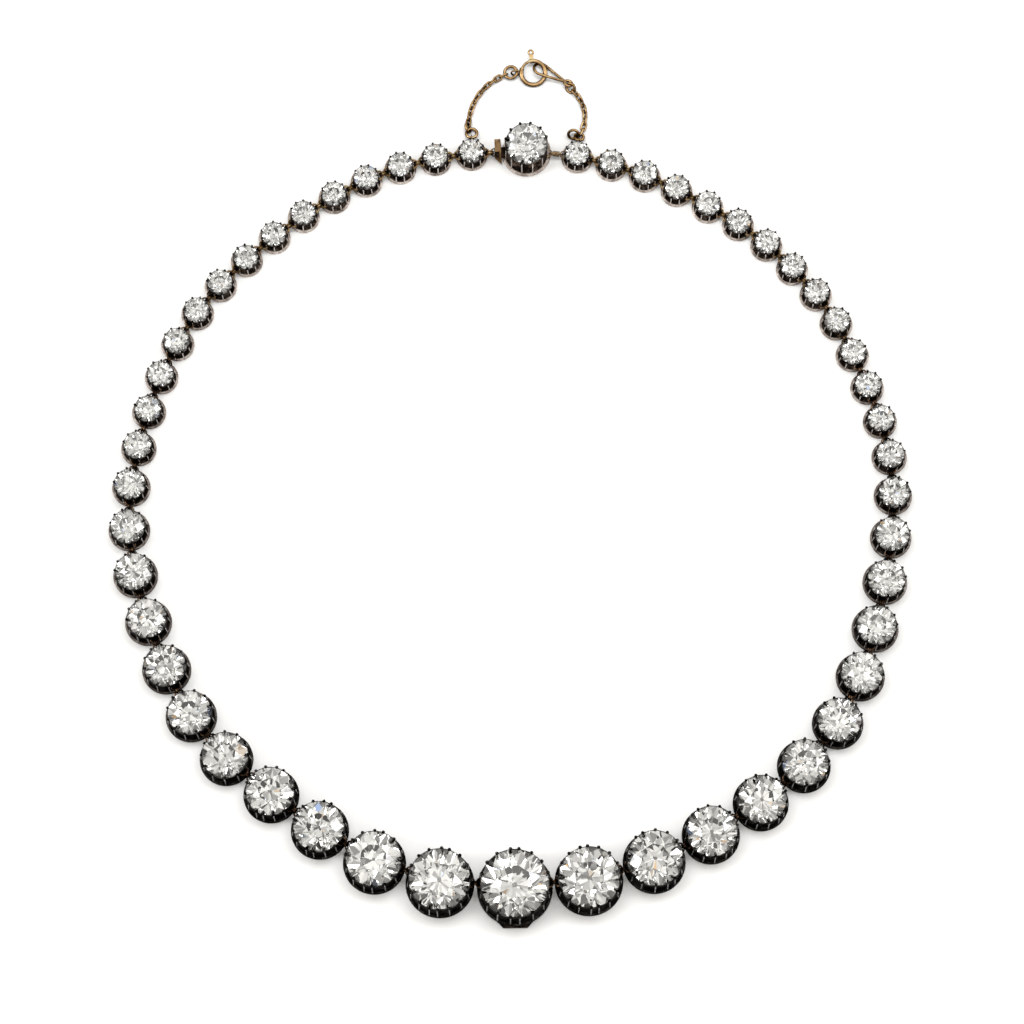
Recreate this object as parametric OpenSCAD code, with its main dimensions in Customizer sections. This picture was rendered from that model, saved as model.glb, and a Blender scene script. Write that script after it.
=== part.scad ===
// Riviere necklace: a closed line of graded round stones in cut-down collets,
// with a box clasp and a safety chain that a bolt ring closes.
// It lies flat on Z = 0, with the clasp towards +Y and the largest stone towards -Y.

/* [Stones] */
// Diameter of the centre stone
center_stone_d = 11.4; // [9:0.1:14]
// Diameter of the stone on the clasp
clasp_stone_d = 7.15; // [5.5:0.05:9]
// Width of the table, as a share of the stone's diameter
table_share = 0.5; // [0.42:0.01:0.58]
// Height of the crown, as a share of the stone's diameter
crown_share = 0.17; // [0.13:0.01:0.2]
// Depth of the pavilion, as a share of the stone's diameter
pavilion_share = 0.44; // [0.4:0.01:0.46]
// Width of the culet, as a share of the stone's diameter
culet_share = 0.08; // [0.04:0.01:0.14]
// Thickness of the girdle
girdle_t = 0.1; // [0.06:0.01:0.2]

/* [Collets] */
// Stones on each side, between the centre and the clasp
side_count = 25; // [20:1:30]
// How far a base rim stands out beyond its stone
rim_out = 0.7; // [0.6:0.05:1]
// Height of a base rim
rim_h = 0.45; // [0.3:0.05:0.6]
// Small bevel on the edges of a base rim
rim_bevel = 0.1; // [0.05:0.01:0.14]
// Step from a base rim in to the foot of the wall
rim_step = 0.35; // [0.3:0.01:0.4]
// How far the top of the wall stands out beyond the stone
lip_out = 0.18; // [0.15:0.01:0.25]
// How far the top of the wall stands above the stone's girdle
lip_rise = 0.05; // [0.02:0.01:0.1]
// Thickness of the wall at its foot
wall_t = 0.4; // [0.3:0.05:0.6]
// Width of the seat under a stone
seat_w = 0.3; // [0.2:0.05:0.5]
// Clearance between a stone and its collet
stone_play = 0.1; // [0.08:0.01:0.15]
// Height of the girdle of a very small stone above its collet's base
lift_base = 0.9; // [0.5:0.05:1.3]
// Height that each millimetre of stone adds to the girdle
lift_per_mm = 0.57; // [0.52:0.01:0.65]
// Extra height of the clasp's collet, which makes room for its tongue
clasp_lift = 1.1; // [0.8:0.05:1.4]
// Width of a rib on the wall of a small collet
rib_d = 0.18; // [0.14:0.01:0.24]
// Diameter of the claw bead of a very small stone
bead_base_d = 0.26; // [0.2:0.02:0.4]
// Diameter that each millimetre of stone adds to a claw bead
bead_per_mm = 0.034; // [0.02:0.002:0.05]
// How far a claw's bead leans in from the top of the wall
bead_lean = 0.08; // [0.04:0.01:0.15]

/* [Spacing and links] */
// Gap between rims next to the centre, left side
gap_front_left = 0.5; // [0.4:0.01:0.7]
// Gap between rims next to the clasp, left side
gap_back_left = 0.85; // [0.6:0.01:1.1]
// Gap between rims next to the centre, right side
gap_front_right = 0.38; // [0.36:0.01:0.7]
// Gap between rims next to the clasp, right side
gap_back_right = 0.65; // [0.5:0.01:1.1]
// Gap between the clasp's rim and the first collet on its left
clasp_gap_left = 2.55; // [2.4:0.05:3.2]
// Gap between the clasp's rim and the first collet on its right
clasp_gap_right = 1.9; // [1.8:0.05:2.6]
// Wire of the rings that join the collets
link_wire = 0.2; // [0.16:0.01:0.2]
// Wire of the eyes on the collets
eye_wire = 0.2; // [0.16:0.01:0.2]
// Clearance of a link in its eyes
link_play = 0.1; // [0.08:0.01:0.1]
// Height of the links, as a share of the girdle height, next to the centre
link_height_front = 0.75; // [0.7:0.01:0.8]
// Height of the links, as a share of the girdle height, next to the clasp
link_height_back = 0.45; // [0.42:0.01:0.6]

/* [Centre fitting] */
// Thickness of the plate under the centre collet
plate_t = 0.9; // [0.5:0.05:1.5]
// How far the plate's outer flat stands out beyond the centre collet's rim
plate_out = 0.2; // [0.1:0.01:0.4]
// Length of the plate's outer flat
plate_flat = 4.1; // [3:0.1:5]
// How far the plate's other flats lie inside the centre collet's rim
plate_in = 0.5; // [0.45:0.01:0.7]
// Width of the plate's frame
plate_w = 1.9; // [1.4:0.05:2.5]
// Clearance between the plate and the collet on it
plate_play = 0.05; // [0.03:0.01:0.1]

/* [Box clasp] */
// Thickness of the clasp's floor
floor_t = 0.4; // [0.3:0.05:0.6]
// Width of the tongue
tongue_w = 1.6; // [1.3:0.1:1.6]
// Thickness of the tongue's leaves
leaf_t = 0.25; // [0.2:0.01:0.3]
// Clearance around the tongue in its slot
tongue_play = 0.1; // [0.08:0.01:0.15]
// Height between the outer faces of the two leaves at the fold
fold_h = 0.9; // [0.8:0.05:1]
// Rise of the upper leaf from the fold to the slot
leaf_rise = 0.45; // [0.35:0.05:0.6]
// How far the tongue's end plate stands out beyond the clasp's rim
tongue_reach = 1.3; // [1.2:0.05:1.5]
// Height of the thumb tab's top
tab_top = 5.9; // [5.2:0.1:6.4]
// Width of the thumb tab
tab_w = 2.2; // [1.8:0.1:2.6]
// Length of the thumb tab's flange
tab_len = 1.05; // [0.7:0.05:1.1]
// Gap between the clasp's rim and the thumb tab
tab_gap = 0.2; // [0.15:0.01:0.3]
// How far the tongue's end plate stands out on each side of the thumb tab
plate_flare = 0.9; // [0.3:0.05:1]

/* [Safety chain] */
// Wire of the chain's links
chain_wire = 0.28; // [0.22:0.01:0.3]
// Inner width of the chain's links
chain_inner_w = 0.52; // [0.5:0.01:0.6]
// Wanted spacing of the chain's links
chain_pitch = 1.05; // [0.95:0.01:1.2]
// Looseness between neighbouring links
chain_slack = 0.12; // [0.1:0.01:0.16]
// Height of the chain's middle line above the surface
chain_z = 0.58; // [0.56:0.01:0.62]
// Bow of the left half, as a share of its length
bow_left = 0.167; // [0.12:0.005:0.22]
// Bow of the right half, as a share of its length
bow_right = 0.188; // [0.12:0.005:0.24]
// Wire of the chain's larger rings
ring_wire = 0.36; // [0.3:0.01:0.36]
// Wire of the lugs on the two last collets
lug_wire = 0.26; // [0.22:0.01:0.3]
// Distance of the bolt ring's centre from the line through the two last collets
arch_h = 15.05; // [14.8:0.05:16]
// Wire of the drop-shaped loop that the bolt ring holds
drop_wire = 0.42; // [0.36:0.01:0.44]

/* [Bolt ring] */
// Outer diameter of the bolt ring
bolt_ring_d = 5; // [4.9:0.05:5.2]
// Diameter of its tube
tube_d = 0.8; // [0.76:0.01:0.8]
// Bore of its tube
tube_bore = 0.58; // [0.56:0.01:0.6]
// Diameter of the sliding bolt
bolt_d = 0.46; // [0.4:0.01:0.46]
// Diameter of the trigger's thumb eye
thumb_d = 1.15; // [0.95:0.05:1.2]
// Distance of the thumb eye from the ring's centre
thumb_r = 3.6; // [3.5:0.05:3.8]
// Travel of the bolt, in degrees round the ring
bolt_travel = 42; // [36:1:42]
// Tilt of the bolt ring, whose far side rests on the loop that it holds
bolt_tilt = 11.5; // [11:0.5:12]

/* [Hidden] */
$fn = 32;
// Points of the line that the collets lie on, in mm, anticlockwise from the clasp
ROUTE = [
    [2.5, 64], [-18, 61.5], [-36, 52.5], [-53, 37],
    [-62.5, 18], [-65.5, -6], [-56, -33.5], [-40.5, -49.5],
    [-14, -64], [22, -61.5], [54.5, -38.5], [65.5, 1],
    [58, 29.5], [45.5, 46], [30.5, 56], [17.5, 61.5]
];
// Stone sizes along a side: place from the centre (0) to the clasp (1), share of the centre stone
GRADING = [
    [0, 1], [0.04, 0.9], [0.08, 0.815], [0.12, 0.745], [0.36, 0.55],
    [0.48, 0.41], [0.52, 0.39], [0.72, 0.365], [1, 0.36]
];
route_steps = 12;
own_nodes = 9;
count = 2 * side_count + 2;
clasp = 0;
last_left = 1;
center = side_count + 1;
last_right = count - 1;
// How far a cutter reaches past what it cuts
through = 1;
silver = "#4a4542";
gold = "#c08a45";
diamond = "#dfe6ea";

// Place of a collet from the centre (0) to the clasp (1), and of the joint after it
function place(k) = abs(k - center) / side_count;
function joint_place(j) = abs(j + 0.5 - center) / side_count;

// Sizes of one stone and its collet; k counts anticlockwise from the clasp
function stone_d(k) = k == clasp ? clasp_stone_d : center_stone_d * lookup(place(k), GRADING);
function rim_r(k) = stone_d(k) / 2 + rim_out;
function foot_r(k) = rim_r(k) - rim_step;
function lip_r(k) = stone_d(k) / 2 + lip_out;
function base_z(k) = k == center ? plate_t + plate_play : 0;
function lift(k) = lift_base + lift_per_mm * stone_d(k) + (k == clasp ? clasp_lift : 0);
function girdle_z(k) = base_z(k) + lift(k);
function lip_z(k) = girdle_z(k) + girdle_t / 2 + lip_rise;
function wall_r(k, z) = lookup(z, [[base_z(k) + rim_h, foot_r(k)], [lip_z(k), lip_r(k)]]);
function claw_count(k) = 2 * round(3 + 0.45 * stone_d(k));
function bead_d(k) = bead_base_d + bead_per_mm * stone_d(k);

// The joint j lies between the collets j and j + 1
function next(k) = (k + 1) % count;
function gap(j) =
    j == clasp ? clasp_gap_left
    : j == last_right ? clasp_gap_right
    : j < center ? gap_front_left + (gap_back_left - gap_front_left) * joint_place(j)
    : gap_front_right + (gap_back_right - gap_front_right) * joint_place(j);
function pitch(j) = rim_r(j) + gap(j) + rim_r(next(j));
run_at = [for (k = 0, s = 0; k < count; s = s + pitch(k), k = k + 1) s];
loop_length = run_at[count - 1] + pitch(count - 1);

// The closed line through ROUTE, scaled so that the collets fill it exactly
function curve(a, b, c, d, t) =
    (2 * b + (c - a) * t + (2 * a - 5 * b + 4 * c - d) * t * t + (3 * b - a - 3 * c + d) * t * t * t) / 2;
function route_at(i) =
    let (n = len(ROUTE), m = floor(i / route_steps), t = i / route_steps - m)
    curve(ROUTE[(m + n - 1) % n], ROUTE[m % n], ROUTE[(m + 1) % n], ROUTE[(m + 2) % n], t);
route_line = [for (i = [0 : len(ROUTE) * route_steps]) route_at(i)];
function running_length(line) =
    [for (i = 0, s = 0; i < len(line); s = s + norm(line[min(i + 1, len(line) - 1)] - line[i]), i = i + 1) s];
function along(line, lengths, s) =
    [for (axis = [0, 1]) lookup(s, [for (i = [0 : len(line) - 1]) [lengths[i], line[i][axis]]])];
route_lengths = running_length(route_line);
route_scale = loop_length / route_lengths[len(route_lengths) - 1];
raw_at = [for (k = [0 : count - 1]) along(route_line, route_lengths, run_at[k] / route_scale) * route_scale];

// The bolt ring stands over the middle of the two last collets, a little to the right
bolt_shift = 1.57;
raw_bolt = (raw_at[last_left] + raw_at[last_right]) / 2 + [bolt_shift, arch_h];
thumb_angle = 97;
raw_top = raw_bolt.y + (thumb_r * sin(thumb_angle) + thumb_d / 2) * cos(bolt_tilt);
raw_left = min([for (k = [0 : count - 1]) raw_at[k].x - rim_r(k)]);
raw_right = max([for (k = [0 : count - 1]) raw_at[k].x + rim_r(k)]);
raw_bottom = min([for (k = [0 : count - 1]) raw_at[k].y - rim_r(k) - (k == center ? plate_out : 0)]);
origin = [(raw_left + raw_right) / 2, (raw_bottom + raw_top) / 2];
collet_at = [for (p = raw_at) p - origin];
bolt_at = raw_bolt - origin;

function direction(j) =
    let (v = collet_at[next(j)] - collet_at[j]) atan2(v.y, v.x);
function link_share(j) = link_height_front + (link_height_back - link_height_front) * joint_place(j);
function joint_z(j) = link_share(j) * min(girdle_z(j), girdle_z(next(j)), lift(j), lift(next(j)));
tongue_end = rim_r(clasp) + tongue_reach;
function joint_start(j) = j == clasp ? tongue_end : wall_r(j, joint_z(j));
function joint_gap(j) = pitch(j) - joint_start(j) - wall_r(next(j), joint_z(j));
function eye_reach(j) =
    j == last_right ? 1.5 * eye_wire + 2 * link_play + link_wire / 2
    : (joint_gap(j) - eye_wire - link_play) / 2;

// A closed ring of round wire in the XY plane
module wire_ring(middle_d, wire) {
    rotate_extrude() translate([middle_d / 2, 0]) circle(d = wire);
}

// Half a wire ring that bulges towards +X
module half_ring(middle_d, wire) {
    rotate([0, 0, -90]) rotate_extrude(angle = 180) translate([middle_d / 2, 0]) circle(d = wire);
}

// A straight rod between two points
module rod(from, to, d, sides = 32) {
    v = to - from;
    translate(from)
        rotate([0, acos(v.z / norm(v)), atan2(v.y, v.x)])
            cylinder(h = norm(v), d = d, $fn = sides);
}

// An oval loop along X in the XY plane, measured at the middle of its wire
module oval_loop(middle_len, middle_w, wire) {
    straight = round(500 * (middle_len - middle_w)) / 500;
    for (side = [0, 180]) rotate([0, 0, side]) {
        translate([straight / 2, 0, 0]) half_ring(middle_w, wire);
        translate([-straight / 2, middle_w / 2, 0])
            rotate([0, 90, 0]) cylinder(h = straight, d = wire);
    }
}

// A soldered eye that bulges towards +X from a wall at X = 0, on legs that stand out from it
module eye(reach, wire, leg = 0) {
    root = wall_t / 2;
    translate([leg, 0, 0]) half_ring(2 * reach, wire);
    for (side = [-1, 1])
        translate([-root, side * reach, 0]) rotate([0, 90, 0]) cylinder(h = root + leg, d = wire);
}

// An old-cut round stone with its girdle at Z = 0
module cut_stone(d) {
    step = 360 / 8;
    half_step = step / 2;
    r = d / 2;
    half_girdle = girdle_t / 2;
    table_r = table_share * r;
    table_z = half_girdle + crown_share * d;
    kite_r = 0.78 * r;
    kite_z = half_girdle + crown_share * d * (r - kite_r * cos(half_step)) / (r - table_r);
    culet_r = culet_share * r;
    culet_side = culet_r * cos(half_step);
    culet_z = -half_girdle - pavilion_share * d;
    half_r = 0.55 * r;
    half_z = -half_girdle - pavilion_share * d * (r - half_r * cos(half_step)) / (r - culet_side);
    function turn(radius, angle, z) = [radius * cos(angle), radius * sin(angle), z];
    // Rings of points from the table down: table, kite tips, girdle top, girdle foot, halves, culet
    points = concat(
        [for (i = [0 : 7]) turn(table_r, step * i, table_z)],
        [for (i = [0 : 7]) turn(kite_r, step * i + half_step, kite_z)],
        [for (i = [0 : 15]) turn(r, half_step * i, half_girdle)],
        [for (i = [0 : 15]) turn(r, half_step * i, -half_girdle)],
        [for (i = [0 : 7]) turn(half_r, step * i + half_step, half_z)],
        [for (i = [0 : 7]) turn(culet_r, step * i + half_step, culet_z)]);
    function table(i) = i % 8;
    function kite(i) = 8 + i % 8;
    function top(i) = 16 + i % 16;
    function foot(i) = 32 + i % 16;
    function half(i) = 48 + i % 8;
    function culet(i) = 56 + i % 8;
    faces = concat(
        [[for (i = [7 : -1 : 0]) table(i)]],
        [for (i = [0 : 7]) [table(i), table(i + 1), kite(i)]],
        [for (i = [0 : 7]) each [
            [table(i), kite(i), top(2 * i)], [table(i), top(2 * i), kite(i + 7)],
            [kite(i), top(2 * i + 1), top(2 * i)], [kite(i), top(2 * i + 2), top(2 * i + 1)]]],
        [for (i = [0 : 15]) each [
            [top(i), top(i + 1), foot(i + 1)], [top(i), foot(i + 1), foot(i)]]],
        [for (i = [0 : 7]) each [
            [half(i), foot(2 * i), foot(2 * i + 1)], [half(i), foot(2 * i + 1), foot(2 * i + 2)],
            [foot(2 * i), half(i), culet(i)], [foot(2 * i), culet(i), culet(i + 7)],
            [foot(2 * i), culet(i + 7), half(i + 7)]]],
        [[for (i = [0 : 7]) culet(i)]]);
    polyhedron(points = points, faces = faces);
}

// The stone of collet k in its place, turned so that its main facets face the chain
module stone(k) {
    color(diamond)
        translate([collet_at[k].x, collet_at[k].y, girdle_z(k)])
            rotate([0, 0, direction(k)]) cut_stone(stone_d(k));
}

// The turned body of collet k, from its own base at Z = 0
module collet_body(k) {
    inner_r = foot_r(k) - wall_t;
    stone_r = stone_d(k) / 2;
    slope = pavilion_share / (0.5 - culet_share / 2);
    seat_top = lift(k) - girdle_t / 2 - stone_play;
    seat_r = stone_r - seat_w;
    seat_z = seat_top - (seat_w + stone_play) * slope;
    top = lift(k) + girdle_t / 2 + lip_rise;
    rotate_extrude() polygon([
        [inner_r, 0], [rim_r(k) - rim_bevel, 0], [rim_r(k), rim_bevel],
        [rim_r(k), rim_h - rim_bevel], [rim_r(k) - rim_bevel, rim_h], [foot_r(k), rim_h],
        [lip_r(k), top], [stone_r + stone_play, top], [stone_r + stone_play, seat_top],
        [seat_r, seat_z], [seat_r, seat_z - wall_t / 2], [inner_r, rim_h]
    ]);
}

// One rib up the wall of collet k with its claw bead, at angle 0
module claw(k) {
    rib = rib_d * (0.7 + 0.3 * bead_d(k) / bead_base_d);
    bead_r = bead_d(k) / 2;
    crown_angle = atan(crown_share / (0.5 - table_share / 2));
    bead_x = lip_r(k) - bead_lean;
    bead_z = lift(k) + girdle_t / 2
        + (bead_r + stone_play - (lip_out - bead_lean) * sin(crown_angle)) / cos(crown_angle);
    rod([foot_r(k), 0, rim_h / 2], [lip_r(k), 0, bead_z], rib, 6);
    translate([bead_x, 0, bead_z]) sphere(d = bead_d(k), $fn = 16);
}

// Angle of claw number i of collet k; the claws of a large stone pair up across the chain
paired_from_d = 8;
pair_pull = 4.5;
function claw_angle(k, i) =
    let (even = (i + 0.5) * 360 / claw_count(k), pull = stone_d(k) > paired_from_d ? pair_pull : 0)
    even + pull * sign(sin(2 * even));

// Claws stand square to the chain, and on the clasp square to its tongue
function heading(k) =
    let (a = direction(k), b = direction((k + count - 1) % count))
    k == clasp ? a : b + ((a - b + 540) % 360 - 180) / 2;

module collet(k) {
    before = (k + count - 1) % count;
    color(silver) translate([collet_at[k].x, collet_at[k].y, 0]) {
        translate([0, 0, base_z(k)]) {
            if (k == clasp) clasp_box();
            else collet_body(k);
            for (i = [0 : claw_count(k) - 1])
                rotate([0, 0, heading(k) + claw_angle(k, i)]) claw(k);
        }
        if (k != clasp)
            rotate([0, 0, direction(k)])
                translate([wall_r(k, joint_z(k)), 0, joint_z(k)]) eye(eye_reach(k), eye_wire);
        rotate([0, 0, direction(before) + 180])
            translate([wall_r(k, joint_z(before)), 0, joint_z(before)])
                eye(eye_reach(before), eye_wire);
        if (k == last_left || k == last_right)
            rotate([0, 0, k == last_left ? lug_angle_left : lug_angle_right])
                translate([wall_r(k, lug_z), 0, lug_z])
                    rotate([90, 0, 0]) eye(lug_reach, lug_wire, lug_leg);
    }
}

// The ring that joins two collets, upright in the line of the chain
module link(j) {
    joint_middle = joint_start(j) + joint_gap(j) / 2;
    color(gold)
        translate([collet_at[j].x, collet_at[j].y, joint_z(j)])
            rotate([0, 0, direction(j)])
                translate([joint_middle, 0, 0])
                    rotate([90, 0, 0])
                        if (j == last_right) bound_link(joint_gap(j));
                        else wire_ring(joint_gap(j) - link_wire - 2 * link_play, link_wire);
}

// The long link beside the clasp, bound with a few turns of wire
module bound_link(room) {
    turns = 4;
    loop_w = eye_wire + 2 * link_play + link_wire;
    turn_wire = 0.22;
    turn_spacing = 0.26;
    oval_loop(room - link_wire - 2 * link_play, loop_w, link_wire);
    for (i = [0 : turns - 1])
        translate([(i - (turns - 1) / 2) * turn_spacing, 0, 0])
            rotate([0, 90, 0]) wire_ring(loop_w + link_wire, turn_wire);
}

// The plate under the centre collet, an eight-sided frame whose outer flat shows beyond the rim
module center_plate() {
    sides = 8;
    flat_r = rim_r(center) - plate_in;
    corner = flat_r * tan(180 / sides);
    outer = rim_r(center) + plate_out;
    color(silver)
        translate([collet_at[center].x, collet_at[center].y, 0])
            rotate([0, 0, heading(center) - 90])
                difference() {
                    linear_extrude(height = plate_t)
                        polygon([
                            [outer, -plate_flat / 2], [outer, plate_flat / 2],
                            [corner, flat_r], [-corner, flat_r],
                            [-flat_r, corner], [-flat_r, -corner],
                            [-corner, -flat_r], [corner, -flat_r]]);
                    translate([0, 0, -through])
                        cylinder(h = plate_t + 2 * through, r = flat_r - plate_w, $fn = 64);
                }
}

// The clasp's collet is a box: it has a floor, and a slot that faces the tongue
slot_z = floor_t;
slot_h = tongue_play + fold_h + leaf_rise + tongue_play;
module clasp_box() {
    slot_w = tongue_w + 2 * tongue_play;
    difference() {
        union() {
            collet_body(clasp);
            cylinder(h = floor_t, r = foot_r(clasp) - wall_t / 2);
        }
        rotate([0, 0, direction(clasp)])
            translate([foot_r(clasp) - 3 * wall_t, -slot_w / 2, slot_z])
                cube([6 * wall_t, slot_w, slot_h]);
    }
}

// The tongue: a folded spring strip with a thumb tab, an end plate and an eye
module clasp_tongue() {
    leaf_z = floor_t + tongue_play;
    fold_x = -(foot_r(clasp) - wall_t) / 2;
    tab_x = rim_r(clasp) + tab_gap + leaf_t / 2;
    plate_x = rim_r(clasp) + tongue_play;
    fold_r = fold_h / 2;
    upper_z = leaf_z + fold_h - leaf_t;
    rise_angle = atan(leaf_rise / (tab_x - fold_x));
    upper_len = (tab_x - fold_x) / cos(rise_angle);
    post_w = 2 * eye_reach(clasp) + eye_wire;
    plate_half = tab_w / 2 + plate_flare;
    color(gold)
        translate([collet_at[clasp].x, collet_at[clasp].y, 0])
            rotate([0, 0, direction(clasp)]) {
                translate([fold_x, -tongue_w / 2, leaf_z]) cube([tongue_end - fold_x, tongue_w, leaf_t]);
                intersection() {
                    translate([fold_x, tongue_w / 2, leaf_z + fold_r])
                        rotate([90, 0, 0])
                            difference() {
                                cylinder(h = tongue_w, r = fold_r);
                                translate([0, 0, -through])
                                    cylinder(h = tongue_w + 2 * through, r = fold_r - leaf_t);
                            }
                    translate([fold_x - fold_r, -tongue_w / 2, leaf_z])
                        cube([fold_r, tongue_w, fold_h]);
                }
                translate([fold_x, -tongue_w / 2, upper_z])
                    rotate([0, -rise_angle, 0]) cube([upper_len, tongue_w, leaf_t]);
                translate([tab_x - leaf_t / 2, -tab_w / 2, upper_z + leaf_rise - leaf_t / 2])
                    cube([leaf_t, tab_w, tab_top - upper_z - leaf_rise + leaf_t / 2]);
                translate([tab_x - leaf_t / 2, -tab_w / 2, tab_top - leaf_t])
                    cube([tab_len, tab_w, leaf_t]);
                translate([0, 0, leaf_z])
                    linear_extrude(leaf_t)
                        polygon([
                            [plate_x, -plate_half], [tongue_end, -post_w / 2],
                            [tongue_end, post_w / 2], [plate_x, plate_half]]);
                translate([tongue_end - leaf_t, -post_w / 2, leaf_z])
                    cube([leaf_t, post_w, joint_z(clasp) + eye_wire - leaf_z]);
                translate([tongue_end, 0, joint_z(clasp)]) eye(eye_reach(clasp), eye_wire);
            }
}

// Lugs on the two last collets carry the safety chain, with room for a ring to swing
lug_z = 1.1;
lug_leg = 0.4;
lug_room = 0.29;
lug_reach = lug_wire / 2 + ring_wire / 2 + lug_room;
lug_angle_left = 90;
lug_angle_right = 84;

// A wire ring: turned by its heading, dipped towards its heading, then rolled about it
module posed_ring(at, z, heading, dip, roll, middle_d, wire) {
    color(gold) translate([at.x, at.y, z])
        rotate([0, 0, heading]) rotate([0, dip, 0]) rotate([roll, 0, 0]) wire_ring(middle_d, wire);
}

// Centre of a ring that hangs in a lug and dips away from the collet
function hung_at(k, angle, dip, middle_d) =
    let (wire_at = lug_leg + lug_reach - lug_wire / 2 - link_play - ring_wire / 2)
    let (out = wall_r(k, lug_z) + wire_at + middle_d / 2 * cos(dip))
    collet_at[k] + out * [cos(angle), sin(angle)];
function hung_z(dip, middle_d) = lug_z - middle_d / 2 * sin(dip);

// Gap that keeps a piece just clear of the surface
rest_gap = 0.02;

// The rings at the left end of the safety chain
jump_left_d = 1.85;
jump_left_dip = 16;
jump_left_at = hung_at(last_left, lug_angle_left, jump_left_dip, jump_left_d);
end_ring_d = 1.6;
end_ring_wire = 0.3;
end_ring_heading = 100;
end_ring_roll = 62;
end_ring_hang = 1.15;
end_ring_angle = 123;
end_ring_at = jump_left_at + end_ring_hang * [cos(end_ring_angle), sin(end_ring_angle)];
end_ring_z = (end_ring_d * sin(end_ring_roll) + end_ring_wire) / 2 + rest_gap;

// The rings at its right end
jump_right_d = 1.5;
jump_right_dip = 21;
jump_right_at = hung_at(last_right, lug_angle_right, jump_right_dip, jump_right_d);
spare_ring_d = 1.75;
spare_ring_wire = 0.34;
spare_ring_roll = 50;
spare_ring_z = 0.99;
spare_ring_at = jump_right_at + [-1.02, 0.425];

// The ring that joins the left half of the chain to the bolt ring's eye
bolt_middle_r = (bolt_ring_d - tube_d) / 2;
bolt_z = tube_d / 2 + bolt_middle_r * sin(bolt_tilt) + rest_gap;
round_ring_d = 2.16;
round_ring_dip = -7;
round_ring_z = 0.72;
round_ring_gap = 0.37;
round_ring_at = bolt_at + [-bolt_ring_d / 2 - round_ring_gap - round_ring_d / 2, 0.12];

// The drop-shaped loop that lies through the bolt ring: an arc, two legs and an eye
drop_heading = -28.4;
drop_roll = -30.5;
drop_z = 0.895;
drop_r = 1.31;
drop_len = 4.8;
drop_eye_d = 1.3;
drop_eye_out = drop_len + drop_eye_d / 2 - 0.08;
drop_at = bolt_at + bolt_middle_r * [0.671, 0.305];
drop_eye_at = drop_at + drop_eye_out * [cos(drop_heading), sin(drop_heading)];
link_ring_d = 1.7;
link_ring_wire = 0.32;
link_ring_heading = -52;
link_ring_dip = 9;
link_ring_roll = 46;
link_ring_z = 0.82;
link_ring_at = drop_eye_at + [0.37, -0.81];

module drop_loop() {
    open_angle = acos(drop_r / drop_len);
    color(gold) translate([drop_at.x, drop_at.y, drop_z])
        rotate([0, 0, drop_heading]) rotate([drop_roll, 0, 0]) {
            rotate([0, 0, open_angle]) rotate_extrude(angle = 360 - 2 * open_angle)
                translate([drop_r, 0]) circle(d = drop_wire);
            for (side = [-1, 1])
                rod([drop_r * cos(open_angle), side * drop_r * sin(open_angle), 0],
                    [drop_len, 0, 0], drop_wire);
            translate([drop_eye_out, 0, 0]) wire_ring(drop_eye_d, drop_wire);
        }
}

// Angles round the bolt ring, anticlockwise from +X
gap_from = 110;
gap_to = 158;
nose_angle = 161;
tail_angle = 60;
neck_half = 9;
slot_margin = 1;
slot_from = thumb_angle - bolt_travel - neck_half - slot_margin;
slot_to = thumb_angle + neck_half + slot_margin;
bore_past = 4;
thumb_wire = 0.35;
neck_t = 0.3;
neck_w = 0.7;
neck_play = 0.06;
solder_eye_len = 1.45;
solder_eye_w = 1;
solder_eye_wire = 0.3;
solder_eye_sink = 0.12;
solder_eye_roll = 60;

// Puts a part into the tilted plane of the bolt ring
module on_bolt_ring() {
    color(gold) translate([bolt_at.x, bolt_at.y, bolt_z]) rotate([bolt_tilt, 0, 0]) children();
}

// Part of a round rod that runs round the bolt ring from one angle to another
module round_arc(from, to, d) {
    rotate([0, 0, from]) rotate_extrude(angle = to - from) translate([bolt_middle_r, 0]) circle(d = d);
}

module bolt_ring() {
    on_bolt_ring() {
        difference() {
            round_arc(gap_to, gap_from + 360, tube_d);
            round_arc(tail_angle - bolt_travel - bore_past, gap_from + bore_past, tube_bore);
            round_arc(gap_to - bore_past, nose_angle + bore_past, tube_bore);
            rotate([0, 0, slot_from]) rotate_extrude(angle = slot_to - slot_from)
                translate([bolt_middle_r, -neck_t / 2 - neck_play])
                    square([tube_d, neck_t + 2 * neck_play]);
        }
        translate([-bolt_ring_d / 2 + solder_eye_sink - solder_eye_len / 2, 0, 0])
            rotate([solder_eye_roll - bolt_tilt, 0, 0])
                oval_loop(solder_eye_len, solder_eye_w, solder_eye_wire);
    }
}

// The sliding bolt with its thumb eye
module bolt_trigger() {
    on_bolt_ring() {
        round_arc(tail_angle, nose_angle, bolt_d);
        rotate([0, 0, thumb_angle]) {
            translate([bolt_middle_r, -neck_w / 2, -neck_t / 2])
                cube([thumb_r - thumb_d / 2 - bolt_middle_r + thumb_wire / 2, neck_w, neck_t]);
            translate([thumb_r, 0, 0]) wire_ring(thumb_d - thumb_wire, thumb_wire);
        }
    }
}

// A point on the curve between two points, with its bow to the left of the way
function bowed(from, to, bow, t) =
    from + t * (to - from) + bow * 4 * t * (1 - t) * [from.y - to.y, to.x - from.x];

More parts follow.
